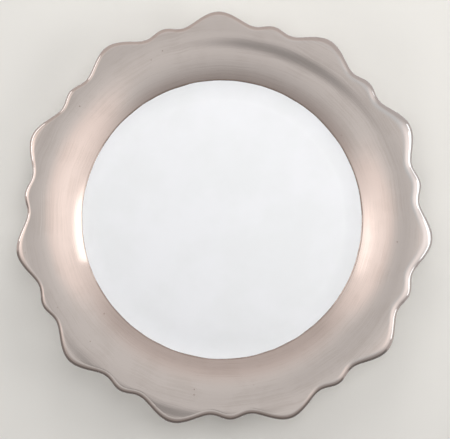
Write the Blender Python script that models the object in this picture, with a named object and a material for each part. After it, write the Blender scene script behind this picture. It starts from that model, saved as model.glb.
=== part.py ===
"""Bread and butter plate: white porcelain with a scalloped rim that is coated in brushed metal.

Run it with blender --background --python part.py, or from Blender's text editor.
Lengths are in metres and +Z is up. The plate's axis is the Z axis, and it stands on z = 0.

The plate is a clay core, a foot ring joined under it, and four fired coats. Every piece is turned from one
section of the finished plate, each at its own depth under that surface, and then scalloped by one rule.
"""

import math

import bmesh
import bpy
import numpy as np
from mathutils import Matrix

MM = 0.001

# Scalloped edge, seen from above
LOBES = 11
PLATE_RADIUS = 91.0 * MM  # axis to the tip of a broad lobe
LOBE_DROP = 2.75 * MM  # tip in to the lobe's flank, a third of the way to the small point
NOTCH_DEPTH = 5.85 * MM  # tip in to the bottom of the notch
POINT_LENGTH = 1.85 * MM  # notch out to the end of the small point

# Section of the finished plate
RIM_WIDTH = 24.05 * MM  # edge of the white well out to the notch
RIM_SLOPE = math.radians(38.0)  # steepest slope, at the edge of the well
COVE_RADIUS = 13.5 * MM  # hollow curve between the floor and the rim
CREST_INSET = 0.3 * MM  # notch in to the line where the rim's rounded shoulder comes level
LIP_ROLL = 3.4 * MM  # width at the notch over which the rim rolls down to the edge
LIP_RISE = 2.6 * MM  # the roll's drop, from the rim to the widest line of the lip
SPREAD_WIDTH = 16.0 * MM  # width inside the notch that stretches out to the scalloped edge
LIP_UNDER = 2.2 * MM  # width of the rounding under the lip
WALL = 4.0 * MM  # thickness of the finished plate

# Foot ring
FOOT_HEIGHT = 3.2 * MM
FOOT_WIDTH = 4.5 * MM
FOOT_INSET = 0.5 * MM  # level step between the cove's back and the foot's fillet
FOOT_FILLET = 1.3 * MM
FOOT_CHAMFER = 0.4 * MM
BARE_HEIGHT = 1.1 * MM  # unglazed toe, below the glaze line

# Coats
GLAZE = 0.4 * MM
METAL = 0.4 * MM
METAL_TURN = 2.0 * MM  # strip of metal on the back, past the rounding under the lip
BOND_GAP = 0.3 * MM  # clearance between pieces that are fired together

# Finishes: colour, roughness and metallic value
BISCUIT = ((0.80, 0.77, 0.71), 0.65, 0.0)
WHITE_GLAZE = ((0.87, 0.87, 0.89), 0.12, 0.0)
BRUSHED_METAL = ((0.66, 0.58, 0.54), 0.35, 1.0)

# Mesh
STEPS_PER_LOBE = 12
ROUND_STEPS = 66
COVE_STEPS = 3
SHOULDER_STEPS = 4
LIP_STEPS = 4
UNDER_STEPS = 2
WELD = 0.001 * MM
SHARP_ANGLE = math.radians(35.0)

# Places that follow from the sizes above
NOTCH_RADIUS = PLATE_RADIUS - NOTCH_DEPTH
WELL_RADIUS = NOTCH_RADIUS - RIM_WIDTH
FLOOR_RADIUS = WELL_RADIUS - COVE_RADIUS * math.sin(RIM_SLOPE)
FLOOR_HEIGHT = FOOT_HEIGHT + WALL
LIP_RADIUS = NOTCH_RADIUS - LIP_ROLL
SPREAD_RADIUS = NOTCH_RADIUS - SPREAD_WIDTH
CREST_RADIUS = NOTCH_RADIUS - CREST_INSET
SHOULDER_RADIUS = (CREST_RADIUS - WELL_RADIUS) / math.sin(RIM_SLOPE)
WELL_EDGE_HEIGHT = FLOOR_HEIGHT + COVE_RADIUS * (1.0 - math.cos(RIM_SLOPE))
CREST_HEIGHT = WELL_EDGE_HEIGHT + SHOULDER_RADIUS * (1.0 - math.cos(RIM_SLOPE))
UNDER_RADIUS = NOTCH_RADIUS - LIP_UNDER
METAL_END_RADIUS = UNDER_RADIUS - METAL_TURN
FOOT_OUTER_RADIUS = FLOOR_RADIUS - FOOT_INSET - FOOT_FILLET
FOOT_INNER_RADIUS = FOOT_OUTER_RADIUS - FOOT_WIDTH
COAT_DEPTH = max(GLAZE, METAL) + BOND_GAP  # finished surface in to the clay
FIRST_TIP = math.radians(90.0 + 360.0 / LOBES / 8.0)  # an eighth of a lobe from +Y centres the plate's box


def arc(centre, across, up, start, end, steps):
    """Points of an elliptical arc in the section, from angle start to end, in degrees from outwards to up."""
    angles = np.radians(np.linspace(start, end, steps + 1))
    return [(centre[0] + across * math.cos(a), centre[1] + up * math.sin(a)) for a in angles]


def cove(radius):
    """The hollow curve from the floor up to the edge of the well, at this radius from its centre."""
    centre = (FLOOR_RADIUS, FLOOR_HEIGHT + COVE_RADIUS)
    return arc(centre, radius, radius, -90.0, -90.0 + math.degrees(RIM_SLOPE), COVE_STEPS)


def shoulder(depth, end_radius):
    """The rounded curve from the edge of the well out to this distance from the axis."""
    centre = (CREST_RADIUS, CREST_HEIGHT - SHOULDER_RADIUS)
    radius = SHOULDER_RADIUS - depth
    end_slope = math.asin((CREST_RADIUS - end_radius) / radius)
    return arc(
        centre, radius, radius, 90.0 + math.degrees(RIM_SLOPE), 90.0 + math.degrees(end_slope), SHOULDER_STEPS
    )


def rim_height(radius, depth):
    """Height of the rim at this distance from the axis, without the roll of its lip."""
    reach = CREST_RADIUS - radius
    return CREST_HEIGHT - SHOULDER_RADIUS + math.sqrt((SHOULDER_RADIUS - depth) ** 2 - reach**2)


LIP_HEIGHT = rim_height(NOTCH_RADIUS, 0.0) - LIP_RISE


def lip_top(depth):
    """The roll from the rim down to the widest line of the lip, at this depth under the surface."""
    points = []
    for across, down in arc((0.0, 0.0), LIP_ROLL - depth, LIP_RISE - depth, 90.0, 0.0, LIP_STEPS):
        radius = LIP_RADIUS + across
        points.append((radius, rim_height(radius, depth) - (LIP_RISE - depth - down)))
    return points


def lip_under(depth):
    """The rounding from the widest line of the lip in to its back, at this depth under the surface."""
    drop = LIP_HEIGHT - rim_height(UNDER_RADIUS, WALL - depth)
    return arc((UNDER_RADIUS, LIP_HEIGHT), LIP_UNDER - depth, drop, 0.0, -90.0, UNDER_STEPS)


def well_face(depth):
    """The white well from the axis out to its edge."""
    return [(0.0, FLOOR_HEIGHT - depth)] + cove(COVE_RADIUS + depth)


def rim_face(depth):
    """The rim from the edge of the well out to the widest line of the lip."""
    return shoulder(depth, LIP_RADIUS) + lip_top(depth)[1:]


def rim_back(depth, start_radius):
    """The back from this distance from the axis in to the level step beside the foot."""
    outer = shoulder(WALL - depth, start_radius)[::-1]
    inner = cove(COVE_RADIUS + WALL - depth)[::-1]
    return outer + inner[1:]


def foot_outer_side(depth):
    """The outer fillet of the foot, then its side down to the glaze line."""
    centre = (FOOT_OUTER_RADIUS + FOOT_FILLET, FOOT_HEIGHT - FOOT_FILLET)
    radius = FOOT_FILLET + depth
    side = arc(centre, radius, radius, 90.0, 180.0, UNDER_STEPS)
    return side + [(FOOT_OUTER_RADIUS - depth, BARE_HEIGHT)]


def foot_inner_side(depth):
    """The inner side of the foot up from the glaze line, its fillet, and the recess in to the axis."""
    centre = (FOOT_INNER_RADIUS - FOOT_FILLET, FOOT_HEIGHT - FOOT_FILLET)
    radius = FOOT_FILLET + depth
    side = arc(centre, radius, radius, 0.0, 90.0, UNDER_STEPS)
    return [(FOOT_INNER_RADIUS + depth, BARE_HEIGHT)] + side + [(0.0, FOOT_HEIGHT + depth)]


def metal_back(depth):
    """The metal under the lip, in to where it ends on the back."""
    return lip_under(depth)[1:] + [(METAL_END_RADIUS, rim_height(METAL_END_RADIUS, WALL - depth))]


def glaze_back(depth):
    """The white back from the end of the metal in to the glaze line on the foot."""
    return rim_back(depth, METAL_END_RADIUS - BOND_GAP) + foot_outer_side(depth)


def set_back(points):
    """These points with the last one drawn back along its curve by the gap that parts two coats."""
    before, last = np.array(points[-2]), np.array(points[-1])
    away = (before - last) / np.linalg.norm(before - last)
    return points[:-1] + [tuple(last + away * BOND_GAP)]


def edge_terms():
    """Cosine terms of the edge's radius over one lobe.

    The tip is at a phase of 0 degrees, the flank at 60, the notch at 120 and the small point at 180.
    """
    phases = np.radians([0.0, 60.0, 120.0, 180.0])
    notch = phases[2]
    orders = np.arange(len(phases) + 1)
    drops = [0.0, LOBE_DROP, NOTCH_DEPTH, NOTCH_DEPTH - POINT_LENGTH]
    level_at_notch = -orders * np.sin(orders * notch)
    rows = np.vstack([np.cos(np.outer(phases, orders)), level_at_notch])
    values = [PLATE_RADIUS - drop for drop in drops] + [0.0]
    return np.linalg.solve(rows, values)


EDGE_TERMS = edge_terms()


def edge_radius(angle):
    """Radius of the scalloped edge at this angle about the axis."""
    phase = LOBES * (angle - FIRST_TIP)
    return sum(term * math.cos(order * phase) for order, term in enumerate(EDGE_TERMS))


def scallop(point):
    """Slides a point of the turned plate out along the rim: all the way at the edge, fading out inside it."""
    radius = math.hypot(point.x, point.y)
    share = min(max((radius - SPREAD_RADIUS) / SPREAD_WIDTH, 0.0), 1.0)
    if share > 0.0:
        moved = radius + share * (edge_radius(math.atan2(point.y, point.x)) - NOTCH_RADIUS)
        point.x *= moved / radius
        point.y *= moved / radius
        point.z += rim_height(moved, 0.0) - rim_height(radius, 0.0)


def turned(name, section, steps, look, parent):
    """One piece: its section spun about the axis, then scalloped.

    A section that starts on the axis ends on it too. Any other section is a closed ring.
    """
    mesh_edit = bmesh.new()
    corners = [mesh_edit.verts.new((radius, 0.0, height)) for radius, height in section]
    sides = [mesh_edit.edges.new(ends) for ends in zip(corners, corners[1:])]
    if section[0][0] > 0.0:
        sides.append(mesh_edit.edges.new((corners[-1], corners[0])))
    bmesh.ops.rotate(mesh_edit, verts=corners, matrix=Matrix.Rotation(FIRST_TIP, 3, "Z"))
    bmesh.ops.spin(
        mesh_edit,
        geom=corners + sides,
        axis=(0.0, 0.0, 1.0),
        cent=(0.0, 0.0, 0.0),
        angle=math.tau,
        steps=steps,
        use_merge=True,
    )
    bmesh.ops.remove_doubles(mesh_edit, verts=mesh_edit.verts, dist=WELD)
    bmesh.ops.recalc_face_normals(mesh_edit, faces=mesh_edit.faces)
    for vertex in mesh_edit.verts:
        scallop(vertex.co)
    mesh = bpy.data.meshes.new(name)
    mesh_edit.to_mesh(mesh)
    mesh_edit.free()
    mesh.shade_smooth()
    mesh.set_sharp_from_angle(angle=SHARP_ANGLE)
    mesh.materials.append(finish(name, *look))
    piece = bpy.data.objects.new(name, mesh)
    piece.parent = parent
    bpy.context.scene.collection.objects.link(piece)


def coat(name, outer, inner, steps, look, parent):
    """A fired coat: a shell between its outer surface and its inner surface."""
    turned(name, outer + inner[::-1], steps, look, parent)


def finish(name, colour, roughness, metallic):
    """The surface finish of one piece."""
    material = bpy.data.materials.new(name + "_finish")
    material.use_nodes = True
    shader = material.node_tree.nodes["Principled BSDF"]
    shader.inputs["Base Color"].default_value = (*colour, 1.0)
    shader.inputs["Roughness"].default_value = roughness
    shader.inputs["Metallic"].default_value = metallic
    return material


def porcelain_body(steps, parent):
    """The clay core: floor, cove and scalloped rim, under every coat."""
    depth = COAT_DEPTH
    face = well_face(depth) + rim_face(depth)[1:]
    back = lip_under(depth)[1:-1] + rim_back(depth, UNDER_RADIUS) + [(0.0, FOOT_HEIGHT + depth)]
    turned("porcelain_body", face + back, steps, BISCUIT, parent)


def foot_ring(steps, parent):
    """The clay ring joined under the floor: a bare toe on the table, and a neck that the glaze covers."""
    rebate = BARE_HEIGHT - BOND_GAP
    neck_outer = FOOT_OUTER_RADIUS - COAT_DEPTH
    neck_inner = FOOT_INNER_RADIUS + COAT_DEPTH
    top = FOOT_HEIGHT + COAT_DEPTH - BOND_GAP
    section = [
        (FOOT_INNER_RADIUS + FOOT_CHAMFER, 0.0),
        (FOOT_OUTER_RADIUS - FOOT_CHAMFER, 0.0),
        (FOOT_OUTER_RADIUS, FOOT_CHAMFER),
        (FOOT_OUTER_RADIUS, rebate),
        (neck_outer, rebate),
        (neck_outer, top),
        (neck_inner, top),
        (neck_inner, rebate),
        (FOOT_INNER_RADIUS, rebate),
        (FOOT_INNER_RADIUS, FOOT_CHAMFER),
    ]
    turned("foot_ring", section, steps, BISCUIT, parent)


def well_glaze(steps, parent):
    """The white glaze over the well, up to the edge of the metal."""
    outer = set_back(well_face(0.0))
    inner = set_back(well_face(GLAZE))
    coat("well_glaze", outer, inner, steps, WHITE_GLAZE, parent)


def rim_metal(steps, parent):
    """The brushed metal over the rim, round the lip and a little way under it."""
    outer = rim_face(0.0) + metal_back(0.0)
    inner = rim_face(METAL) + metal_back(METAL)
    coat("rim_metal", outer, inner, steps, BRUSHED_METAL, parent)


def back_glaze(steps, parent):
    """The white glaze over the back, from the metal down the outside of the foot."""
    coat("back_glaze", glaze_back(0.0), glaze_back(GLAZE), steps, WHITE_GLAZE, parent)


def recess_glaze(steps, parent):
    """The white glaze inside the foot ring, on the underside of the floor."""
    outer = foot_inner_side(0.0)[::-1]
    inner = foot_inner_side(GLAZE)[::-1]
    coat("recess_glaze", outer, inner, steps, WHITE_GLAZE, parent)


def build_plate():
    """Clears the scene, then makes the plate's six pieces under one empty."""
    for old in list(bpy.data.objects):
        bpy.data.objects.remove(old)
    plate = bpy.data.objects.new("plate", None)
    bpy.context.scene.collection.objects.link(plate)
    scalloped_steps = LOBES * STEPS_PER_LOBE
    porcelain_body(scalloped_steps, plate)
    foot_ring(ROUND_STEPS, plate)
    well_glaze(ROUND_STEPS, plate)
    rim_metal(scalloped_steps, plate)
    back_glaze(scalloped_steps, plate)
    recess_glaze(ROUND_STEPS, plate)


build_plate()
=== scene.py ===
"""Looks of the bread and butter plate: brushed metal rim, white glaze, bare foot, and a soft studio round it.

The file is laid out as an add-on and run as a script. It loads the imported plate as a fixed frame, makes a
finer piece over each coat and over the foot ring, and gives every surface its finish. Lengths are in metres.
"""

import math

import bmesh
import bpy
import numpy as np
from mathutils import Matrix, Vector, noise


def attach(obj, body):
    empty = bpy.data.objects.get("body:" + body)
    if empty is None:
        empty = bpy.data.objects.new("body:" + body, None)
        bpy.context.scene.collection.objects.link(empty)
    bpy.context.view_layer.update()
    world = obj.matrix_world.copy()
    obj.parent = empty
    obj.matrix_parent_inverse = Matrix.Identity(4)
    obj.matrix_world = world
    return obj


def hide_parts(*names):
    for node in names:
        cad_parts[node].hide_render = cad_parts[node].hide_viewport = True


bl_info = {
    "name": "Bread and butter plate",
    "version": (1, 0, 0),
    "blender": (4, 5, 0),
    "location": "View3D > Sidebar > Plate",
    "description": "Makes the finished pieces of a scalloped plate with a brushed metal rim, and its studio",
    "category": "Object",
}

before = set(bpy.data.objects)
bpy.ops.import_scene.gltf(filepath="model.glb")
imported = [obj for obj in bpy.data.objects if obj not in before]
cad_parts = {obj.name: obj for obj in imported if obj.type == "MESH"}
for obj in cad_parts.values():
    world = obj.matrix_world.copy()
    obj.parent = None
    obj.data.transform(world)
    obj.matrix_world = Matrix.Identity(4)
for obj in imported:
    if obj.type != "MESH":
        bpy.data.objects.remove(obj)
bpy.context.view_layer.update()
BODY = "root"
MM = 0.001

# The edge: its broad lobes, and the turn of one lobe's tip in degrees, an eighth of a lobe past +Y
LOBES = 11
FIRST_TIP = 90.0 + 360.0 / LOBES / 8.0

# The photograph's frame, in pixels: its size, and the plate's centre and span in it
IMAGE_WIDTH = 450
IMAGE_HEIGHT = 439
PLATE_CENTRE = (224.38, 216.78)
PLATE_SPAN = 420.9

# Steps of the finer meshes
LOBE_STEPS = 40
ROUND_STEPS = 264
ARC_STEPS = 30
LIP_STEPS = 22
UNDER_STEPS = 8
FLOOR_RINGS = 8
NOSE_STEPS = 4
HIDDEN_STEPS = 8
SHARP_ANGLE = math.radians(40.0)

# Hand work: reach and spacing of a border's wobble and how it changes from border to border, way that the
# metal's border is shifted, spacing of the rim's waves, and where the lip rolls widest
WOBBLE_REACH = 3.0 * MM
WOBBLE_TURNS = 9.0
WOBBLE_CHANGE = 400.0
SHIFT_WAY = math.radians(182.0)
WAVE_SIZE = 17.0 * MM
LIP_WIDEST = math.radians(12.0)
# Painted highlight on the lip, a paler, whiter metal colour on the side that faces the bright lights: width
# over which it fades in, and the name under which each point holds it
PAINTED_HIGHLIGHT_EASE = 1.6 * MM
PAINTED_HIGHLIGHT = "painted_highlit"


def length(label, words, value):
    """A length that a user can change."""
    return bpy.props.FloatProperty(
        name=label, description=words, default=value, min=0.0, precision=5, unit="LENGTH", subtype="DISTANCE"
    )


def angle(label, words, degrees):
    """An angle that a user can change."""
    return bpy.props.FloatProperty(
        name=label, description=words, default=math.radians(degrees), subtype="ANGLE"
    )


def ratio(label, words, value):
    """A ratio that a user can change."""
    return bpy.props.FloatProperty(
        name=label, description=words, default=value, min=0.2, max=1.6, subtype="FACTOR"
    )


def colour(label, words, value):
    """A colour that a user can change."""
    return bpy.props.FloatVectorProperty(
        name=label, description=words, default=value, size=3, min=0.0, max=1.0, subtype="COLOR"
    )


class PlateSizes(bpy.types.PropertyGroup):
    """Sizes of the plate's section and of its scalloped edge."""

    lobes: bpy.props.IntProperty(
        name="Lobes", description="Broad lobes round the edge", default=LOBES, min=3
    )
    first_tip: angle("First tip", "Turn of one lobe's tip about the axis, from +X", FIRST_TIP)
    plate_radius: length("Plate radius", "Axis to the tip of a broad lobe", 91.0 * MM)
    lobe_drop: length("Lobe drop", "Tip in to the flank, a third of the way to the small point", 2.75 * MM)
    notch_depth: length("Notch depth", "Tip in to the bottom of the notch", 5.85 * MM)
    point_length: length("Point length", "Notch out to the end of the small point", 1.85 * MM)
    rim_width: length("Rim width", "Edge of the white well out to the notch", 24.05 * MM)
    rim_slope: angle("Rim slope", "Steepest slope, at the edge of the well", 38.0)
    cove_radius: length("Cove radius", "Hollow curve between the floor and the rim", 13.5 * MM)
    crest_inset: length("Crest inset", "Notch in to the line where the rim's shoulder comes level", 0.3 * MM)
    lip_roll: length("Lip roll", "Width at the notch over which the rim rolls down to the edge", 3.4 * MM)
    lip_rise: length("Lip rise", "The roll's drop, from the rim to the widest line of the lip", 2.6 * MM)
    spread_width: length("Spread width", "Width inside the notch that stretches out to the edge", 16.0 * MM)
    lip_under: length("Lip under", "Width of the rounding under the lip", 2.2 * MM)
    wall: length("Wall", "Thickness of the finished plate", 4.0 * MM)
    foot_height: length("Foot height", "Table up to the underside of the floor", 3.2 * MM)
    foot_width: length("Foot width", "Width of the foot ring", 4.5 * MM)
    foot_inset: length("Foot inset", "Level step between the cove's back and the foot's fillet", 0.5 * MM)
    foot_fillet: length("Foot fillet", "Fillet where the foot meets the floor", 1.3 * MM)
    foot_rounding: length("Foot rounding", "Worn edge of the foot's bare toe", 0.4 * MM)
    bare_height: length("Bare height", "Table up to the glaze line on the foot", 1.1 * MM)
    metal_turn: length("Metal turn", "Strip of metal on the back, past the rounding under the lip", 2.0 * MM)
    film: length("Film", "Thickness of a coat", 0.3 * MM)
    metal_depth: length("Metal depth", "The packed surface down to the metal", 0.06 * MM)
    glaze_depth: length("Glaze depth", "The packed surface down to the glaze", 0.09 * MM)
    seam: length("Seam", "Fine line between two coats", 0.02 * MM)
    edge_clear: length("Edge clear", "How far the edge stays inside the packed one", 0.18 * MM)
    unevenness: length("Unevenness", "How far the rim's surface waves up and down", 0.05 * MM)
    wobble: length("Wobble", "How far a hand-painted border strays", 0.16 * MM)
    border_shift: length("Border shift", "How far the metal's border lies off the plate's axis", 0.75 * MM)
    lip_tip: ratio("Lip, tips", "Width of the roll at a lobe's tip, as a share of Lip roll", 0.38)
    lip_notch: ratio("Lip, notches", "Width of the roll at a notch, as a share of Lip roll", 0.85)
    lip_wide: ratio("Lip, wide", "Width of the roll where it is widest, as a share of Lip roll", 1.24)
    lip_opposite: ratio("Lip, opposite", "Width of the roll opposite that, as a share of Lip roll", 0.62)


class PlateColours(bpy.types.PropertyGroup):
    """Colours of the plate's finishes and of the floor."""

    metal: colour("Metal", "Brushed metal where it is clean", (0.80, 0.683, 0.64))
    metal_dark: colour("Metal, dark", "Brushed metal in its darker strokes", (0.64, 0.535, 0.485))
    # Painted highlight: paler, whiter metal on the lip where it faces the bright lights, standing in for
    # their whiter reflection
    metal_painted_highlight: colour("Metal, rubbed", "Metal where the lip is rubbed pale", (0.77, 0.717, 0.708))
    metal_edge: colour("Metal, border", "Metal that pooled along its border", (0.34, 0.25, 0.205))
    glaze: colour("Glaze", "White glaze", (0.876, 0.877, 0.898))
    glaze_shade: colour("Glaze, shade", "White glaze where it lies thin", (0.843, 0.848, 0.858))
    clay: colour("Clay", "Bare fired clay", (0.78, 0.74, 0.67))
    clay_dark: colour("Clay, dark", "Grit and stain on the clay, pinholes in the glaze", (0.50, 0.44, 0.37))
    floor: colour("Floor", "Pale floor", (0.79, 0.767, 0.727))


class Section:
    """The plate's section: distances from the axis and heights, worked out from the sizes."""

    def __init__(self, sizes):
        self.sizes = sizes
        slope_sine = math.sin(sizes.rim_slope)
        slope_drop = 1.0 - math.cos(sizes.rim_slope)
        self.slope = math.degrees(sizes.rim_slope)
        self.notch = sizes.plate_radius - sizes.notch_depth
        self.well = self.notch - sizes.rim_width
        self.floor = self.well - sizes.cove_radius * slope_sine
        self.floor_height = sizes.foot_height + sizes.wall
        self.lip = self.notch - sizes.lip_roll
        self.spread = self.notch - sizes.spread_width
        self.crest = self.notch - sizes.crest_inset
        self.shoulder_radius = (self.crest - self.well) / slope_sine
        self.well_height = self.floor_height + sizes.cove_radius * slope_drop
        self.crest_height = self.well_height + self.shoulder_radius * slope_drop
        self.lip_height = self.rim_height(self.notch, 0.0) - sizes.lip_rise
        self.under = self.notch - sizes.lip_under
        self.metal_end = self.under - sizes.metal_turn
        self.foot_outer = self.floor - sizes.foot_inset - sizes.foot_fillet
        self.foot_inner = self.foot_outer - sizes.foot_width
        self.edge_terms = self.solve_edge()

    def solve_edge(self):
        """Cosine terms of the edge's radius over a lobe: tip at 0 degrees, flank 60, notch 120, point 180."""
        sizes = self.sizes
        phases = np.radians([0.0, 60.0, 120.0, 180.0])
        orders = np.arange(len(phases) + 1)
        drops = [0.0, sizes.lobe_drop, sizes.notch_depth, sizes.notch_depth - sizes.point_length]
        level_at_notch = -orders * np.sin(orders * phases[2])
        rows = np.vstack([np.cos(np.outer(phases, orders)), level_at_notch])
        return np.linalg.solve(rows, [sizes.plate_radius - drop for drop in drops] + [0.0])

    def edge(self, angles):
        """Radius of the scalloped edge at these angles about the axis."""
        phases = self.sizes.lobes * (angles - self.sizes.first_tip)
        return sum(term * np.cos(order * phases) for order, term in enumerate(self.edge_terms))

    def rim_height(self, radius, depth):
        """Height of the rim at this distance from the axis, without the roll of its lip."""
        reach = self.crest - np.maximum(radius, self.well)
        drop = np.sqrt((self.shoulder_radius - depth) ** 2 - reach**2)
        return self.crest_height - self.shoulder_radius + drop

    def face_height(self, radius):
        """Height of the face at this distance from the axis: floor, cove or rim."""
        across = np.clip(radius - self.floor, 0.0, self.well - self.floor)
        cove = self.floor_height + self.sizes.cove_radius - np.sqrt(self.sizes.cove_radius**2 - across**2)
        return np.where(radius < self.well, cove, self.rim_height(radius, 0.0))

    def lip_sway(self, radii, angles):
        """How far a point near the lip moves in or out where the roll was left wider or tighter."""
        sizes = self.sizes
        inside = np.clip((radii - self.spread) / (self.lip - self.spread), 0.0, 1.0) * sizes.lip_roll
        reach = np.minimum(inside, self.notch - radii)
        inset = (sizes.plate_radius - self.edge(angles)) / sizes.notch_depth
        usual = sizes.lip_tip + (sizes.lip_notch - sizes.lip_tip) * inset
        facing = np.cos(angles - LIP_WIDEST)
        end = np.where(facing > 0.0, sizes.lip_wide, sizes.lip_opposite)
        return (1.0 - usual - (end - usual) * facing**2) * reach

    def painted_highlit(self, radii, angles):
        """Share of the painted highlight on the metal, from 0 to 1: paler, whiter metal on the lip, most
        where its roll is widest, on the side that faces the bright lights.
        """
        stretch = (self.lip - self.spread) / self.sizes.spread_width
        start = self.lip + stretch * (self.edge(angles) - self.notch) + self.lip_sway(self.lip, angles)
        on_lip = np.clip((radii - start) / PAINTED_HIGHLIGHT_EASE + 0.5, 0.0, 1.0)
        return on_lip * np.maximum(0.0, np.cos(angles - LIP_WIDEST)) ** 2

    def cove(self, depth, steps):
        """The hollow curve from the floor up to the edge of the well."""
        radius = self.sizes.cove_radius
        centre = (self.floor, self.floor_height + radius)
        return arc(centre, radius + depth, radius + depth, -90.0, self.slope - 90.0, steps)

    def shoulder(self, depth, end_radius, steps):
        """The rounded curve from the edge of the well out to this distance from the axis."""
        radius = self.shoulder_radius - depth
        centre = (self.crest, self.crest_height - self.shoulder_radius)
        end_slope = math.degrees(math.asin((self.crest - end_radius) / radius))
        return arc(centre, radius, radius, 90.0 + self.slope, 90.0 + end_slope, steps)

    def lip_top(self, depth, steps):
        """The roll from the rim down to the widest line of the lip."""
        rise = self.sizes.lip_rise - depth
        roll = arc((self.lip, -rise), self.sizes.lip_roll - depth, rise, 90.0, 0.0, steps)
        return [(radius, self.rim_height(radius, depth) + drop) for radius, drop in roll]

    def lip_under(self, depth, steps):
        """The rounding from the widest line of the lip in to its back."""
        drop = self.lip_height - self.rim_height(self.under, self.sizes.wall - depth)
        return arc((self.under, self.lip_height), self.sizes.lip_under - depth, drop, 0.0, -90.0, steps)

    def well_face(self, depth, rings, steps):
        """The white well from the axis out to its edge."""
        height = self.floor_height - depth
        flat = [(self.floor * ring / rings, height) for ring in range(rings)]
        return set_back(flat + self.cove(depth, steps), self.sizes.seam)

    def metal_face(self, depth, rim_steps, lip_steps, under_steps):
        """The metal from the edge of the well over the rim, round the lip and in to its end on the back."""
        rim = self.shoulder(depth, self.lip, rim_steps)
        lip = self.lip_top(depth, lip_steps)
        under = self.lip_under(depth, under_steps)
        strip = np.linspace(self.under, self.metal_end, under_steps)
        turn = [(radius, self.rim_height(radius, self.sizes.wall - depth)) for radius in strip]
        return rim + lip[1:] + under[1:] + turn[1:]

    def back_face(self, depth, arc_steps, fillet_steps):
        """The white back from the end of the metal in to the glaze line on the foot."""
        sizes = self.sizes
        outer = self.shoulder(sizes.wall - depth, self.metal_end - sizes.seam, arc_steps)[::-1]
        inner = self.cove(sizes.wall - depth, arc_steps)[::-1]
        centre = (self.foot_outer + sizes.foot_fillet, sizes.foot_height - sizes.foot_fillet)
        radius = sizes.foot_fillet + depth
        fillet = arc(centre, radius, radius, 90.0, 180.0, fillet_steps)
        return outer + inner[1:] + fillet + [(self.foot_outer - depth, sizes.bare_height)]

    def recess_face(self, depth, rings, fillet_steps):
        """The white recess from the axis out to the glaze line inside the foot."""
        sizes = self.sizes
        centre = (self.foot_inner - sizes.foot_fillet, sizes.foot_height - sizes.foot_fillet)
        radius = sizes.foot_fillet + depth
        fillet = arc(centre, radius, radius, 90.0, 0.0, fillet_steps)
        height = sizes.foot_height + depth
        ceiling = [(centre[0] * ring / rings, height) for ring in range(rings)]
        return ceiling + fillet + [(self.foot_inner + depth, sizes.bare_height)]

    def foot_section(self):
        """The foot ring: a bare toe with worn edges, and a neck behind the glaze."""
        sizes = self.sizes
        wear_and_sheen = sizes.foot_rounding
        neck = sizes.glaze_depth + sizes.film + sizes.seam
        line = sizes.bare_height - sizes.seam
        outer = self.foot_outer - sizes.glaze_depth
        inner = self.foot_inner + sizes.glaze_depth
        toe_out = arc((outer - wear_and_sheen, wear_and_sheen), wear_and_sheen, wear_and_sheen, -90.0, 0.0, NOSE_STEPS)
        toe_in = arc((inner + wear_and_sheen, wear_and_sheen), wear_and_sheen, wear_and_sheen, 180.0, 270.0, NOSE_STEPS)
        top = sizes.foot_height + neck
        rise_out = [(outer, line), (self.foot_outer - neck, line), (self.foot_outer - neck, top)]
        rise_in = [(self.foot_inner + neck, top), (self.foot_inner + neck, line), (inner, line)]
        return toe_out + rise_out + rise_in + toe_in

    def shaped(self, radii, heights, angles):
        """Points of the turned plate once its borders waver, its edge is scalloped and its rim is uneven."""
        sizes = self.sizes
        radii, heights, angles = np.broadcast_arrays(radii, heights, angles)
        moved = radii + 0.0
        on_face = heights > self.rim_height(np.maximum(radii, self.well), sizes.wall / 2.0)
        shift = sizes.border_shift * np.cos(angles - SHIFT_WAY)
        for border, side, stray in ((self.well, on_face, shift), (self.metal_end, ~on_face, 0.0)):
            near = np.maximum(0.0, 1.0 - np.abs(radii - border) / WOBBLE_REACH)
            moved += near * side * (stray + sizes.wobble * border_noise(angles[0], border))
        stretch = np.clip((radii - self.spread) / sizes.spread_width, 0.0, 1.0)
        moved += stretch * (self.edge(angles) - self.notch - sizes.edge_clear) + self.lip_sway(radii, angles)
        lifted = heights + self.face_height(moved) - self.face_height(radii)
        x, y = moved * np.cos(angles), moved * np.sin(angles)
        on_rim = np.clip((radii - self.well) / (self.spread - self.well), 0.0, 1.0)
        wave = [noise.noise(Vector((a, b, 0.0)) / WAVE_SIZE) for a, b in zip(x.flat, y.flat)]
        lifted = lifted + sizes.unevenness * on_rim * np.reshape(wave, x.shape)
        return np.stack([x, y, lifted], axis=-1)


def border_noise(angles, border):
    """Soft noise round the axis, from -1 to 1, that differs with the border's distance from the axis."""
    level = border * WOBBLE_CHANGE
    places = [(math.cos(a) * WOBBLE_TURNS, math.sin(a) * WOBBLE_TURNS, level) for a in angles]
    return np.array([noise.noise(Vector(place)) for place in places])


def arc(centre, across, up, start, end, steps):
    """Points of an elliptical arc in the section, in degrees from outwards to up."""
    angles = np.radians(np.linspace(start, end, steps + 1))
    return [(centre[0] + across * math.cos(a), centre[1] + up * math.sin(a)) for a in angles]


def set_back(points, gap):
    """These points with the last one drawn back along its curve."""
    before, last = np.array(points[-2]), np.array(points[-1])
    away = (before - last) / np.linalg.norm(before - last)
    return points[:-1] + [tuple(last + away * gap)]


def nose(outer_end, inner_end, steps):
    """The rounded end of a film, from its outer face to its inner face."""
    outer, inner = np.array(outer_end), np.array(inner_end)
    middle, half = (outer + inner) / 2.0, (outer - inner) / 2.0
    ahead = np.array((half[1], -half[0]))
    turns = np.radians(np.linspace(0.0, 180.0, steps + 1))[1:-1]
    return [tuple(middle + half * math.cos(turn) + ahead * math.sin(turn)) for turn in turns]


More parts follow.
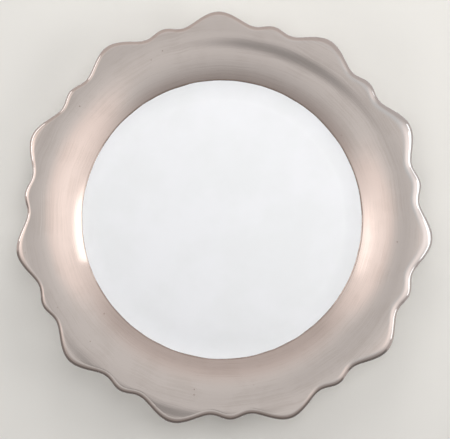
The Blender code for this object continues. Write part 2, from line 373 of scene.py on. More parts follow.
def turned(name, points, steps, section):
    """A piece of the plate: a section spun about the axis and shaped.

    A section that starts on the axis ends on it too. Any other section is a closed ring.
    """
    radii, heights = np.array(points).T
    area = np.sum(radii * np.roll(heights, -1) - np.roll(radii, -1) * heights)
    if area < 0.0:
        radii, heights = radii[::-1], heights[::-1]
    angles = section.sizes.first_tip + np.linspace(0.0, math.tau, steps, endpoint=False)
    corners = section.shaped(radii[:, None], heights[:, None], angles[None, :]).reshape(-1, 3)
    rows = len(radii)
    ring = np.arange(steps)
    ahead = np.roll(ring, -1)
    faces = []
    for row in range(rows):
        below, above = row * steps, (row + 1) % rows * steps
        ends = (radii[row] == 0.0, radii[(row + 1) % rows] == 0.0)
        if all(ends):
            continue
        quads = np.stack([below + ring, below + ahead, above + ahead, above + ring], axis=1)
        if ends[0]:
            quads = np.stack([np.full(steps, below), above + ahead, above + ring], axis=1)
        elif ends[1]:
            quads = np.stack([below + ring, below + ahead, np.full(steps, above)], axis=1)
        faces.extend(quads.tolist())
    mesh = bpy.data.meshes.new(name)
    mesh.from_pydata(corners.tolist(), [], faces)
    mesh_edit = bmesh.new()
    mesh_edit.from_mesh(mesh)
    loose = [vertex for vertex in mesh_edit.verts if not vertex.link_faces]
    bmesh.ops.delete(mesh_edit, geom=loose, context="VERTS")
    mesh_edit.to_mesh(mesh)
    mesh_edit.free()
    mesh.shade_smooth()
    mesh.set_sharp_from_angle(angle=SHARP_ANGLE)
    return linked(name, mesh)


def paint_highlight(piece, section):
    """Notes on each point of the metal its share of the painted highlight that pales the lip."""
    points = np.array([vertex.co for vertex in piece.data.vertices])
    x, y = points[:, 0], points[:, 1]
    wear_and_sheen = section.painted_highlit(np.hypot(x, y), np.arctan2(y, x))
    held = piece.data.attributes.new(PAINTED_HIGHLIGHT, "FLOAT", "POINT")
    held.data.foreach_set("value", wear_and_sheen.astype(np.float32))


def linked(name, data):
    """A new object in the scene."""
    made = bpy.data.objects.new(name, data)
    bpy.context.scene.collection.objects.link(made)
    return made


def fitted(piece, material, node):
    """Puts a finished piece on the plate's body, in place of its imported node."""
    piece.data.materials.append(material)
    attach(piece, BODY)
    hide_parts(node)


class Wiring:
    """Adds shader nodes to one tree and joins them."""

    # Sockets of the Mix node that carry colours: its factor and its two colours, and its result
    MIX_INPUTS = (0, 6, 7)
    MIX_RESULT = 2

    def __init__(self, tree):
        self.tree = tree

    def node(self, kind, inputs=(), **settings):
        """A node with these settings, and these values or links on its inputs."""
        made = self.tree.nodes.new(kind)
        for key, value in settings.items():
            setattr(made, key, value)
        self.fill(made, dict(inputs))
        return made

    def fill(self, node, inputs):
        """Feeds several inputs of a node."""
        for socket, value in inputs.items():
            self.feed(node.inputs[socket], value)

    def feed(self, socket, value):
        """Links a socket to another one, or sets its value."""
        if isinstance(value, bpy.types.NodeSocket):
            self.tree.links.new(value, socket)
        else:
            socket.default_value = value

    def math(self, operation, *values):
        """The result of a sum on numbers or sockets."""
        return self.node("ShaderNodeMath", dict(enumerate(values)), operation=operation).outputs[0]

    def product(self, first, *others):
        """Numbers or sockets, multiplied."""
        for other in others:
            first = self.math("MULTIPLY", first, other)
        return first

    def total(self, first, *others):
        """Numbers or sockets, added up."""
        for other in others:
            first = self.math("ADD", first, other)
        return first

    def vector(self, operation, output, inputs):
        """One output of a sum on vectors."""
        return self.node("ShaderNodeVectorMath", inputs, operation=operation).outputs[output]

    def between(self, value, low, high, low_out=0.0, high_out=1.0):
        """A value eased from low to high."""
        inputs = {0: value, 1: low, 2: high, 3: low_out, 4: high_out}
        return self.node("ShaderNodeMapRange", inputs, interpolation_type="SMOOTHSTEP").outputs[0]

    def noise(self, vector, scale, detail, rough):
        """Soft noise from 0 to 1."""
        inputs = {"Vector": vector, "Scale": scale, "Detail": detail, "Roughness": rough}
        return self.node("ShaderNodeTexNoise", inputs).outputs["Fac"]

    def blend(self, amount, first, second):
        """A colour between two colours."""
        inputs = dict(zip(self.MIX_INPUTS, (amount, first, second)))
        return self.node("ShaderNodeMix", inputs, data_type="RGBA").outputs[self.MIX_RESULT]

    def bump(self, strength, distance, height):
        """A normal that follows this relief."""
        inputs = {"Strength": strength, "Distance": distance, "Height": height}
        return self.node("ShaderNodeBump", inputs).outputs["Normal"]

    def place(self):
        """The point's place in its piece's own frame, in metres."""
        return self.node("ShaderNodeTexCoord").outputs["Object"]

    def polar(self):
        """The point's direction from the axis, its distance from the axis and its height."""
        parts = self.node("ShaderNodeSeparateXYZ", {0: self.place()}).outputs
        flat = self.node("ShaderNodeCombineXYZ", {0: parts[0], 1: parts[1]}).outputs[0]
        way = self.vector("NORMALIZE", "Vector", {0: flat})
        radius = self.vector("LENGTH", "Value", {0: flat})
        return way, radius, parts[2]


def new_group(name, inputs, outputs):
    """A shader node group with number inputs and outputs: its wiring, its inputs and its outputs."""
    tree = bpy.data.node_groups.new(name, "ShaderNodeTree")
    for label, value in inputs.items():
        socket = tree.interface.new_socket(label, in_out="INPUT", socket_type="NodeSocketFloat")
        socket.default_value = value
    for label in outputs:
        tree.interface.new_socket(label, in_out="OUTPUT", socket_type="NodeSocketFloat")
    wiring = Wiring(tree)
    return wiring, wiring.node("NodeGroupInput").outputs, wiring.node("NodeGroupOutput").inputs


# Strokes: distance from the axis at which one has its given length, how closely it wavers, how much finer
# each kind is, and the span of the noise that shows
STROKE_RADIUS = 75.0 * MM
WAVER_SCALE = 70.0
STROKE_FINENESS = {"Strokes": 1.0, "Fine Strokes": 3.5}
STROKE_SPAN = (0.28, 0.72)
# Patches: the span of the noise that shows. Specks: how one fades out from its middle, by shares of its size
PATCH_SPAN = (0.3, 0.7)
SPECK_FADE = (0.5, 1.0, 1.0, 0.0)


def stroke_group():
    """Strokes that run round the axis, as a brush or a turning tool leaves them."""
    inputs = {"Stroke Length": 20.0 * MM, "Stroke Width": 1.0 * MM, "Waver": 1.0 * MM}
    wiring, given, out = new_group("ring_strokes", inputs, STROKE_FINENESS)
    way, radius, height = wiring.polar()
    strokes_per_radian = wiring.math("DIVIDE", STROKE_RADIUS, given["Stroke Length"])
    around = wiring.vector("SCALE", "Vector", {0: way, "Scale": strokes_per_radian})
    parts = wiring.node("ShaderNodeSeparateXYZ", {0: around}).outputs
    waver = wiring.math("SUBTRACT", wiring.noise(wiring.place(), WAVER_SCALE, detail=1.0, rough=0.5), 0.5)
    across = wiring.total(radius, height, wiring.product(waver, given["Waver"]))
    for label, finer in STROKE_FINENESS.items():
        count = wiring.product(wiring.math("DIVIDE", across, given["Stroke Width"]), finer)
        vector = wiring.node("ShaderNodeCombineXYZ", {0: parts[0], 1: parts[1], 2: count}).outputs[0]
        strokes = wiring.noise(vector, 1.0, detail=3.0, rough=0.6)
        wiring.feed(out[label], wiring.between(strokes, *STROKE_SPAN))


def mottle_group():
    """Soft uneven patches."""
    wiring, given, out = new_group("mottle", {"Patch Size": 10.0 * MM}, ["Mottle"])
    scale = wiring.math("DIVIDE", 1.0, given["Patch Size"])
    patches = wiring.noise(wiring.place(), scale, detail=3.0, rough=0.55)
    wiring.feed(out["Mottle"], wiring.between(patches, *PATCH_SPAN))


def speck_group():
    """Small scattered specks."""
    inputs = {"Spacing": 6.0 * MM, "Size": 0.3 * MM, "Share": 0.3}
    wiring, given, out = new_group("specks", inputs, ["Specks"])
    scale = wiring.math("DIVIDE", 1.0, given["Spacing"])
    cells = wiring.node("ShaderNodeTexVoronoi", {"Vector": wiring.place(), "Scale": scale}).outputs
    dot = wiring.product(cells["Distance"], given["Spacing"])
    lot = wiring.node("ShaderNodeSeparateColor", {0: cells["Color"]}).outputs[0]
    chosen = wiring.math("LESS_THAN", lot, given["Share"])
    mask = wiring.between(wiring.math("DIVIDE", dot, given["Size"]), *SPECK_FADE)
    wiring.feed(out["Specks"], wiring.product(mask, chosen))


def group_of(wiring, name, **values):
    """Places a shared group in a material and returns its outputs."""
    made = wiring.node("ShaderNodeGroup")
    made.node_tree = bpy.data.node_groups[name]
    for label, value in values.items():
        made.inputs[label.replace("_", " ").title()].default_value = value
    return made.outputs


def new_material(name):
    """An empty finish: its material, its wiring and its Principled shader."""
    material = bpy.data.materials.new(name)
    material.use_nodes = True
    return material, Wiring(material.node_tree), material.node_tree.nodes["Principled BSDF"]


def solid(rgb):
    """A colour with full alpha."""
    return (*rgb, 1.0)


# Finishes. A run of four eases from the first place to the second, and from the third value to the fourth.
# The metal: what strokes and patches add to its tone, how the tone darkens and dulls it, how dark and dull
# its specks are, and the height of its broad strokes beside the fine ones
METAL_STROKES = 0.34
METAL_FINE_STROKES = 0.20
METAL_PATCHES = 0.46
METAL_DARKENING = (0.35, 0.9, 0.0, 0.34)
METAL_ROUGHNESS = (0.2, 0.9, 0.07, 0.13)
METAL_SPECKS = 0.55
METAL_SPECK_ROUGHNESS = 0.2
METAL_STROKE_RELIEF = 2.0
# Where the metal pooled: how far past the border it reaches, inwards, outwards and down, and its strength
POOL_INSIDE = 0.1 * MM
POOL_OUTSIDE = 0.9 * MM
POOL_BELOW = 1.0 * MM
POOL_STRENGTH = 0.7
# The glaze: strength of its pinholes, height of its ripples beside them, and its gloss
GLAZE_PINHOLES = 0.35
GLAZE_RIPPLES = 0.5
GLAZE_ROUGHNESS = (0.0, 1.0, 0.07, 0.13)
GLAZE_IOR = 1.5
# The clay: strength of its stains, turned rings and grit, and its dullness
CLAY_STAINS = 0.35
CLAY_RINGS = 0.15
CLAY_GRIT = 0.4
CLAY_ROUGHNESS = (0.0, 1.0, 0.62, 0.8)


def brushed_metal(colours, section):
    """Warm metal, brushed round the rim by hand: strokes, patches, specks, a darker line at its border, and a
    painted highlight that pales the lip where it faces the bright lights.
    """
    material, wiring, shader = new_material("metal_finish")
    strokes = group_of(wiring, "ring_strokes", stroke_length=30.0 * MM, stroke_width=0.9 * MM, waver=3.0 * MM)
    mottle = group_of(wiring, "mottle", patch_size=14.0 * MM)["Mottle"]
    specks = group_of(wiring, "specks", spacing=5.0 * MM, size=0.45 * MM, share=0.10)["Specks"]
    tone = wiring.total(
        wiring.product(strokes["Strokes"], METAL_STROKES),
        wiring.product(strokes["Fine Strokes"], METAL_FINE_STROKES),
        wiring.product(mottle, METAL_PATCHES),
    )
    darker = wiring.between(tone, *METAL_DARKENING)
    brushed = wiring.blend(darker, solid(colours.metal), solid(colours.metal_dark))
    # Painted highlight: the lip's metal is blended towards a paler, whiter colour where it faces the bright
    # lights
    wear_and_sheen = wiring.node("ShaderNodeAttribute", attribute_name=PAINTED_HIGHLIGHT).outputs["Fac"]
    painted_highlit = wiring.blend(wear_and_sheen, brushed, solid(colours.metal_painted_highlight))
    pooled = wiring.blend(pool(wiring, section), painted_highlit, solid(colours.metal_edge))
    speckled = wiring.blend(wiring.product(specks, METAL_SPECKS), pooled, solid(colours.metal_edge))
    rough = wiring.total(
        wiring.between(tone, *METAL_ROUGHNESS),
        wiring.product(specks, METAL_SPECK_ROUGHNESS),
    )
    relief = wiring.total(strokes["Fine Strokes"], wiring.product(strokes["Strokes"], METAL_STROKE_RELIEF))
    normal = wiring.bump(strength=0.07, distance=0.04 * MM, height=relief)
    wiring.fill(shader, {"Base Color": speckled, "Roughness": rough, "Metallic": 1.0, "Normal": normal})
    return material


def pool(wiring, section):
    """How far the metal is darkened where it pooled along its border with the well."""
    way, radius, height = wiring.polar()
    shifted = (math.cos(SHIFT_WAY), math.sin(SHIFT_WAY), 0.0)
    along = wiring.vector("DOT_PRODUCT", "Value", {0: way, 1: shifted})
    centred = wiring.math("SUBTRACT", radius, wiring.product(along, section.sizes.border_shift))
    start, end = section.well - POOL_INSIDE, section.well + POOL_OUTSIDE
    border = wiring.between(centred, start, end, POOL_STRENGTH, 0.0)
    face = wiring.math("GREATER_THAN", height, section.well_height - POOL_BELOW)
    return wiring.product(border, face)


def white_glaze(colours):
    """Glossy white glaze: a little uneven, with fine ripples and a few pinholes."""
    material, wiring, shader = new_material("glaze_finish")
    mottle = group_of(wiring, "mottle", patch_size=22.0 * MM)["Mottle"]
    ripple = group_of(wiring, "mottle", patch_size=3.5 * MM)["Mottle"]
    pinholes = group_of(wiring, "specks", spacing=16.0 * MM, size=0.35 * MM, share=0.12)["Specks"]
    toned = wiring.blend(mottle, solid(colours.glaze), solid(colours.glaze_shade))
    pitted = wiring.blend(wiring.product(pinholes, GLAZE_PINHOLES), toned, solid(colours.clay_dark))
    rough = wiring.between(mottle, *GLAZE_ROUGHNESS)
    relief = wiring.math("SUBTRACT", wiring.product(ripple, GLAZE_RIPPLES), pinholes)
    normal = wiring.bump(strength=0.15, distance=0.03 * MM, height=relief)
    wiring.fill(shader, {"Base Color": pitted, "Roughness": rough, "IOR": GLAZE_IOR, "Normal": normal})
    return material


def bare_clay(colours):
    """Bare fired clay: dull, gritty and faintly ringed by the turning tool."""
    material, wiring, shader = new_material("clay_finish")
    rings = group_of(wiring, "ring_strokes", stroke_length=80.0 * MM, stroke_width=0.5 * MM, waver=0.4 * MM)
    mottle = group_of(wiring, "mottle", patch_size=6.0 * MM)["Mottle"]
    grit = group_of(wiring, "specks", spacing=1.1 * MM, size=0.3 * MM, share=0.35)["Specks"]
    stain = wiring.total(wiring.product(mottle, CLAY_STAINS), wiring.product(rings["Strokes"], CLAY_RINGS))
    toned = wiring.blend(stain, solid(colours.clay), solid(colours.clay_dark))
    gritty = wiring.blend(wiring.product(grit, CLAY_GRIT), toned, solid(colours.clay_dark))
    rough = wiring.between(mottle, *CLAY_ROUGHNESS)
    relief = wiring.math("SUBTRACT", rings["Strokes"], grit)
    normal = wiring.bump(strength=0.4, distance=0.06 * MM, height=relief)
    wiring.fill(shader, {"Base Color": gritty, "Roughness": rough, "Normal": normal})
    return material


def shared_groups():
    """Makes the node groups once."""
    if "ring_strokes" not in bpy.data.node_groups:
        stroke_group()
        mottle_group()
        speck_group()


def finish_named(name, make):
    """A finish that several pieces share, made the first time it is asked for."""
    shared_groups()
    return bpy.data.materials.get(name) or make()


def plate_of(scene):
    """The plate's section and colours, from the scene's properties."""
    return Section(scene.plate_sizes), scene.plate_colours


class PLATE_OT_rim_metal(bpy.types.Operator):
    """Makes the brushed metal over the rim and round the lip"""

    bl_idname = "plate.rim_metal"
    bl_label = "Metal rim"
    bl_options = {"REGISTER", "UNDO"}

    def execute(self, context):
        section, colours = plate_of(context.scene)
        sizes = section.sizes
        outer = section.metal_face(sizes.metal_depth, ARC_STEPS, LIP_STEPS, UNDER_STEPS)
        depth = sizes.metal_depth + sizes.film
        inner = section.metal_face(depth, HIDDEN_STEPS, HIDDEN_STEPS, HIDDEN_STEPS // 2)[::-1]
        under_end = nose(outer[-1], inner[0], NOSE_STEPS)
        well_end = nose(inner[-1], outer[0], NOSE_STEPS)
        ring = outer + under_end + inner + well_end
        piece = turned("metal_rim", ring, sizes.lobes * LOBE_STEPS, section)
        # Painted highlight: stores on each point how far the lip's metal is painted paler and whiter
        paint_highlight(piece, section)
        material = finish_named("metal_finish", lambda: brushed_metal(colours, section))
        fitted(piece, material, "rim_metal")
        return {"FINISHED"}


class PLATE_OT_well_glaze(bpy.types.Operator):
    """Makes the white glaze over the well"""

    bl_idname = "plate.well_glaze"
    bl_label = "Glazed well"
    bl_options = {"REGISTER", "UNDO"}

    def execute(self, context):
        section, colours = plate_of(context.scene)
        sizes = section.sizes
        outer = section.well_face(sizes.glaze_depth, FLOOR_RINGS, ARC_STEPS)
        inner = section.well_face(sizes.glaze_depth + sizes.film, 1, HIDDEN_STEPS)
        piece = turned("glazed_well", outer + inner[::-1], ROUND_STEPS, section)
        material = finish_named("glaze_finish", lambda: white_glaze(colours))
        fitted(piece, material, "well_glaze")
        return {"FINISHED"}


class PLATE_OT_back_glaze(bpy.types.Operator):
    """Makes the white glaze over the back and inside the foot ring"""

    bl_idname = "plate.back_glaze"
    bl_label = "Glazed back and recess"
    bl_options = {"REGISTER", "UNDO"}

    def execute(self, context):
        section, colours = plate_of(context.scene)
        sizes = section.sizes
        near, far = sizes.glaze_depth, sizes.glaze_depth + sizes.film
        material = finish_named("glaze_finish", lambda: white_glaze(colours))

        back = section.back_face(near, ARC_STEPS // 2, UNDER_STEPS)
        hidden = section.back_face(far, HIDDEN_STEPS, UNDER_STEPS // 2)[::-1]
        ring = back + nose(back[-1], hidden[0], NOSE_STEPS) + hidden
        piece = turned("glazed_back", ring, sizes.lobes * LOBE_STEPS // 2, section)
        fitted(piece, material, "back_glaze")

        recess = section.recess_face(near, FLOOR_RINGS, UNDER_STEPS)
        hidden = section.recess_face(far, 1, UNDER_STEPS // 2)[::-1]
        disc = recess + nose(hidden[0], recess[-1], NOSE_STEPS)[::-1] + hidden
        piece = turned("glazed_recess", disc, ROUND_STEPS, section)
        fitted(piece, material, "recess_glaze")
        return {"FINISHED"}


class PLATE_OT_foot_ring(bpy.types.Operator):
    """Makes the foot ring's bare toe and gives the clay core its finish"""

    bl_idname = "plate.foot_ring"
    bl_label = "Foot ring and clay core"
    bl_options = {"REGISTER", "UNDO"}

    def execute(self, context):
        section, colours = plate_of(context.scene)
        material = finish_named("clay_finish", lambda: bare_clay(colours))
        piece = turned("bare_foot", section.foot_section(), ROUND_STEPS, section)
        fitted(piece, material, "foot_ring")
        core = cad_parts["porcelain_body"]
        core.data.materials.clear()
        core.data.materials.append(material)
        return {"FINISHED"}


# Softboxes for the dull surfaces: name, azimuth and elevation in degrees, distance, width and brightness
SOFTBOXES = (
    ("right_softbox", 0.0, 35.0, 0.30, 0.14, 4.71),
    ("back_softbox", 90.0, 35.0, 0.30, 0.14, 4.62),
    ("left_softbox", 180.0, 35.0, 0.30, 0.14, 1.78),
    ("back_left_softbox", 135.0, 60.0, 0.28, 0.14, 1.06),
    ("high_back_fill", 45.0, 75.0, 0.40, 0.20, 2.10),
    ("high_front_fill", 225.0, 75.0, 0.40, 0.20, 1.47),
    ("front_fill", 270.0, 20.0, 0.60, 0.30, 4.20),
    ("front_left_fill", 225.0, 20.0, 0.60, 0.30, 2.25),
    ("back_left_fill", 135.0, 20.0, 0.60, 0.30, 1.60),
    ("back_right_fill", 45.0, 20.0, 0.60, 0.30, 1.79),
)
AMBIENT = (0.01, 0.01, 0.01)
BACKDROP = (0.66, 0.64, 0.62)

# The tent that the metal and the glaze mirror, by direction from the plate. A height is the sine of the
# elevation, a lean is the sine of the angle off the zenith, and a turn is the tangent of the angle from
# straight right or left towards the back. A pair is where an edge of light starts and ends. A run of four
# eases from the first place to the second, and from the third glow to the fourth
TENT_RADIUS = 2.5
TENT_SEGMENTS = 48
TENT_RINGS = 24
TENT_SIDES = (0.44, 0.84, 0.51, 0.675)
TENT_TOP_DIP = (0.96, 1.0, 0.0, 0.014)
TENT_FRONT_DIP = (-0.88, -0.20, 0.19, 0.0)
# Lit walls: side, turn of the middle, reach to the back and the front, and how the glow grows with the lean
TENT_WALLS = (
    ("right", 0.18, 1.04, 1.49, (0.03, 0.66, 0.0, 0.446)),
    ("left", 0.20, 1.16, 0.89, (0.156, 0.93, 0.0, 0.547)),
)
TENT_WALL_FOOT = (0.26, 0.44)
# Windows: side, edges by turn, foot and head by height, and brightness
TENT_WINDOWS = (
    ("right", (-0.18, 0.18), (0.46, 0.49), (0.24, 0.34), (0.47, 0.66), 1.10),
    ("left", (-0.15, 0.17), (0.40, 0.58), (0.26, 0.46), (0.50, 0.71), 0.33),
)
# Dim patches overhead, such as the camera: place, core, reach, and share of the glow that is left
TENT_SHADES = (
    ((-0.085, -0.167), 0.05, 0.20, 0.52),
    ((-0.24, 0.22), 0.10, 0.40, 0.88),
)
# The dark opening in front, low down: its direction, its sides and its head
OPENING_WAY = (-0.259, -0.966)
OPENING_SIDES = (0.28, 0.38, 0.0, 0.53)
OPENING_HEAD = (0.06, 0.20, 1.0, 0.0)
# Tint of the cloth: warm low down and on the lit walls, plain overhead, and plain lower down towards the back
TINT_HEIGHTS = (0.35, 0.80, 1.0, 0.0)
TINT_LEAN = 0.25
TINT_WALLS = (0.0, 0.25)
TINT_WARM = (1.04, 1.0, 0.965)
TINT_PLAIN = (0.957, 1.0, 0.997)
# The least number to divide by
LEAST = 0.001

# Bright cards beside the plate, low down, that the lip mirrors: name, middle, width, height and glow
CARDS = (
    ("right_card", (0.25, 0.04, 0.065), 0.27, 0.055, 1.7),
    ("left_card", (-0.25, 0.12, 0.03), 0.21, 0.06, 2.0),
)
CARD_TINT = (0.95, 1.0, 1.02)
CARD_CORNERS = ((-0.5, -0.5), (0.5, -0.5), (0.5, 0.5), (-0.5, 0.5))

# The camera: its distance, how far it leans to the left and to the front, the angle at which the photograph
# has the topmost tip, its sensor in millimetres and its clipping
CAMERA_DISTANCE = 0.5
CAMERA_LEFT = math.radians(1.0)
CAMERA_FRONT = math.radians(5.4)
TOP_TIP = math.radians(91.79)
SENSOR = 36.0
CLIP_START = 0.01
CLIP_END = 50.0

# The floor: its width, its gap under the foot, its dullness, and where it fades into the backdrop
FLOOR_SIZE = 6.0
FLOOR_GAP = 0.05 * MM
FLOOR_ROUGHNESS = 0.85
FLOOR_FADE = (0.20, 0.45)


class PLATE_OT_stage(bpy.types.Operator):
    """Makes the pale floor, the soft studio lights and the camera"""

    bl_idname = "plate.stage"
    bl_label = "Stage"
    bl_options = {"REGISTER", "UNDO"}

    def execute(self, context):
        scene = context.scene
        section, colours = plate_of(scene)
        scene.view_settings.view_transform = "Standard"
        pale_floor(colours)
        room(scene)
        tent()
        for upright in CARDS:
            card(*upright)
        for softbox in SOFTBOXES:
            area_light(*softbox)
        scene.camera = overhead_camera(section)
        return {"FINISHED"}


def primitive(name, shape, **sizes):
    """A mesh made by one of Blender's own shapes."""
    mesh_edit = bmesh.new()
    shape(mesh_edit, **sizes)
    mesh = bpy.data.meshes.new(name)
    mesh_edit.to_mesh(mesh)
    mesh_edit.free()
    return mesh


def pale_floor(colours):
    """A plain pale floor under the foot, which fades into the backdrop away from the plate."""
    mesh = primitive("floor", bmesh.ops.create_grid, x_segments=1, y_segments=1, size=FLOOR_SIZE / 2.0)
    material, wiring, shader = new_material("pale_floor")
    wiring.fill(shader, {"Base Color": solid(colours.floor), "Roughness": FLOOR_ROUGHNESS})
    radius = wiring.polar()[1]
    far = wiring.between(radius, *FLOOR_FADE)
    backdrop = wiring.node("ShaderNodeEmission", {"Color": solid(BACKDROP)}).outputs[0]
    faded = wiring.node("ShaderNodeMixShader", {0: far, 1: shader.outputs[0], 2: backdrop}).outputs[0]
    wiring.feed(material.node_tree.nodes["Material Output"].inputs["Surface"], faded)
    mesh.materials.append(material)
    made = linked("floor", mesh)
    made.location.z = -FLOOR_GAP
    made.visible_glossy = False


def room(scene):
    """Even light from the room for the dull surfaces, in front of a pale backdrop."""
    world = bpy.data.worlds.new("room")
    world.use_nodes = True
    wiring = Wiring(world.node_tree)
    seen = wiring.node("ShaderNodeLightPath").outputs["Is Camera Ray"]
    background = world.node_tree.nodes["Background"]
    wiring.feed(background.inputs["Color"], wiring.blend(seen, solid(AMBIENT), solid(BACKDROP)))
    scene.world = world
    world.cycles_visibility.glossy = False


def tent():
    """The tent of white cloth that the metal and the glaze mirror. Only mirrored rays see it."""
    parts = {"u_segments": TENT_SEGMENTS, "v_segments": TENT_RINGS}
    mesh = primitive("tent", bmesh.ops.create_uvsphere, radius=TENT_RADIUS, **parts)
    mesh.materials.append(tent_cloth())
    mirrored_only(linked("tent", mesh))


def card(name, middle, width, height, glow):
    """A glowing upright card beside the plate. Only mirrored rays see it."""
    corners = [(0.0, across * width, up * height) for across, up in CARD_CORNERS]
    mesh = bpy.data.meshes.new(name)
    mesh.from_pydata(corners, [], [range(len(corners))])
    material, wiring, shader = new_material(name)
    glowing(material, wiring, shader, solid(CARD_TINT), glow)
    mesh.materials.append(material)
    made = linked(name, mesh)
    made.location = middle
    mirrored_only(made)


def mirrored_only(made):
    """Leaves a stage piece to mirrored rays alone."""
    made.visible_camera = False
    made.visible_diffuse = False
    made.visible_shadow = False


def glowing(material, wiring, shader, tint, strength):
    """Makes a material's surface glow, in place of its Principled shader."""
    shine = wiring.node("ShaderNodeEmission", {"Color": tint, "Strength": strength})
    wiring.feed(material.node_tree.nodes["Material Output"].inputs["Surface"], shine.outputs[0])
    material.node_tree.nodes.remove(shader)


class Direction:
    """Sockets for a direction from the plate: its parts, its lean off the zenith, its turn and its side."""

    def __init__(self, wiring):
        way = wiring.vector("NORMALIZE", "Vector", {0: wiring.place()})
        self.x, self.y, self.z = wiring.node("ShaderNodeSeparateXYZ", {0: way}).outputs
        self.lean = wiring.math("SQRT", wiring.math("SUBTRACT", 1.0, wiring.product(self.z, self.z)))
        sideways = wiring.math("MAXIMUM", wiring.math("ABSOLUTE", self.x), LEAST)
        self.turn = wiring.math("DIVIDE", self.y, sideways)
        self.sides = {
            "right": wiring.math("GREATER_THAN", self.x, 0.0),
            "left": wiring.math("LESS_THAN", self.x, 0.0),
        }


def tent_cloth():
    """The tent's glow and tint, by direction from the plate."""
    material, wiring, shader = new_material("tent_cloth")
    way = Direction(wiring)
    walls = wall_glow(wiring, way)
    glow = wiring.between(way.z, *TENT_SIDES)
    glow = wiring.math("SUBTRACT", glow, wiring.between(way.z, *TENT_TOP_DIP))
    glow = wiring.math("SUBTRACT", glow, wiring.between(way.y, *TENT_FRONT_DIP))
    glow = wiring.total(glow, walls)
    glow = wiring.product(glow, *overhead_shades(wiring, way), opening_shade(wiring, way))
    glow = wiring.total(glow, *window_glows(wiring, way))
    towards_back = wiring.math("MAXIMUM", way.y, 0.0)
    height = wiring.math("SUBTRACT", way.z, wiring.product(towards_back, TINT_LEAN))
    warm_low = wiring.between(height, *TINT_HEIGHTS)
    warm_walls = wiring.between(walls, *TINT_WALLS)
    warmth = wiring.math("MAXIMUM", warm_low, warm_walls)
    tint = wiring.blend(warmth, solid(TINT_PLAIN), solid(TINT_WARM))
    glowing(material, wiring, shader, tint, glow)
    return material


def wall_glow(wiring, way):
    """Glow of the lit walls on the right and on the left."""
    walls = []
    for side, centre, back_reach, front_reach, rise in TENT_WALLS:
        off = wiring.math("SUBTRACT", way.turn, centre)
        back = wiring.between(off, 0.0, back_reach, 1.0, 0.0)
        front = wiring.between(off, -front_reach, 0.0)
        walls.append(wiring.product(back, front, way.sides[side], wiring.between(way.lean, *rise)))
    return wiring.product(wiring.total(*walls), wiring.between(way.z, *TENT_WALL_FOOT))


def overhead_shades(wiring, way):
    """Shares of the glow that the dim patches overhead leave."""
    flat = wiring.node("ShaderNodeCombineXYZ", {0: way.x, 1: way.y}).outputs[0]
    shades = []
    for middle, core, reach, left_over in TENT_SHADES:
        away = wiring.vector("DISTANCE", "Value", {0: flat, 1: (*middle, 0.0)})
        shades.append(wiring.between(away, core, reach, left_over, 1.0))
    return shades


def opening_shade(wiring, way):
    """Share of the glow that the opening in front leaves."""
    ahead = wiring.total(wiring.product(way.x, OPENING_WAY[0]), wiring.product(way.y, OPENING_WAY[1]))
    ahead = wiring.math("DIVIDE", ahead, wiring.math("MAXIMUM", way.lean, LEAST))
    opening = wiring.product(wiring.between(ahead, *OPENING_SIDES), wiring.between(way.z, *OPENING_HEAD))
    return wiring.math("SUBTRACT", 1.0, opening)


def window_glows(wiring, way):
    """Glow of each window."""
    windows = []
    for side, start, end, foot, head, brightness in TENT_WINDOWS:
        across = wiring.product(wiring.between(way.turn, *start), wiring.between(way.turn, *end, 1.0, 0.0))
        tall = wiring.product(wiring.between(way.z, *foot), wiring.between(way.z, *head, 1.0, 0.0))
        windows.append(wiring.product(across, tall, way.sides[side], brightness))
    return windows


def area_light(name, azimuth, elevation, distance, width, brightness):
    """A square softbox that faces the plate and lights its dull surfaces."""
    light = bpy.data.lights.new(name, "AREA")
    light.shape = "SQUARE"
    light.size = width
    light.energy = brightness * math.pi * width**2
    made = linked(name, light)
    a, e = math.radians(azimuth), math.radians(elevation)
    out = Vector((math.cos(a) * math.cos(e), math.sin(a) * math.cos(e), math.sin(e)))
    made.location = out * distance
    made.rotation_euler = out.to_track_quat("Z", "Y").to_euler()
    made.visible_camera = False
    made.visible_glossy = False


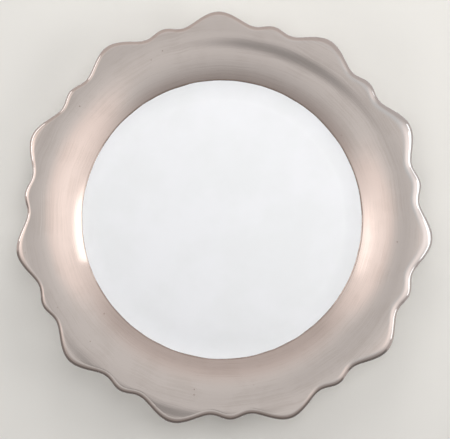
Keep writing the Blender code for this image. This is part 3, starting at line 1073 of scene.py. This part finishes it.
def overhead_camera(section):
    """The camera over the plate, placed so that the plate's outline falls where the photograph has it."""
    sizes = section.sizes
    pixel = 2.0 * sizes.plate_radius / PLATE_SPAN
    data = bpy.data.cameras.new("camera")
    data.sensor_width = SENSOR
    data.lens = SENSOR * CAMERA_DISTANCE / (IMAGE_WIDTH * pixel)
    data.clip_start = CLIP_START
    data.clip_end = CLIP_END
    aim = Vector((
        (IMAGE_WIDTH / 2.0 - PLATE_CENTRE[0]) * pixel,
        (PLATE_CENTRE[1] - IMAGE_HEIGHT / 2.0) * pixel,
        section.lip_height,
    ))
    turn = Matrix.Rotation(sizes.first_tip - TOP_TIP, 4, "Z")
    lean = Matrix.Rotation(-CAMERA_LEFT, 4, "Y") @ Matrix.Rotation(CAMERA_FRONT, 4, "X")
    away = Matrix.Translation((0.0, 0.0, CAMERA_DISTANCE))
    made = linked("camera", data)
    made.matrix_world = turn @ Matrix.Translation(aim) @ lean @ away
    return made


class PLATE_PT_sidebar(bpy.types.Panel):
    """Lists the plate's sizes, colours and pieces"""

    bl_idname = "PLATE_PT_sidebar"
    bl_label = "Plate"
    bl_space_type = "VIEW_3D"
    bl_region_type = "UI"
    bl_category = "Plate"

    def draw(self, context):
        for group in (context.scene.plate_sizes, context.scene.plate_colours):
            for name in group.__annotations__:
                self.layout.prop(group, name)
        for operator in OPERATORS:
            self.layout.operator(operator.bl_idname)


OPERATORS = (
    PLATE_OT_rim_metal,
    PLATE_OT_well_glaze,
    PLATE_OT_back_glaze,
    PLATE_OT_foot_ring,
    PLATE_OT_stage,
)
CLASSES = (PlateSizes, PlateColours, *OPERATORS, PLATE_PT_sidebar)


def register():
    for cls in CLASSES:
        bpy.utils.register_class(cls)
    bpy.types.Scene.plate_sizes = bpy.props.PointerProperty(type=PlateSizes)
    bpy.types.Scene.plate_colours = bpy.props.PointerProperty(type=PlateColours)


def unregister():
    del bpy.types.Scene.plate_colours
    del bpy.types.Scene.plate_sizes
    for cls in reversed(CLASSES):
        bpy.utils.unregister_class(cls)


def main():
    register()
    bpy.ops.plate.rim_metal()
    bpy.ops.plate.well_glaze()
    bpy.ops.plate.back_glaze()
    bpy.ops.plate.foot_ring()
    bpy.ops.plate.stage()


if __name__ == "__main__":
    main()
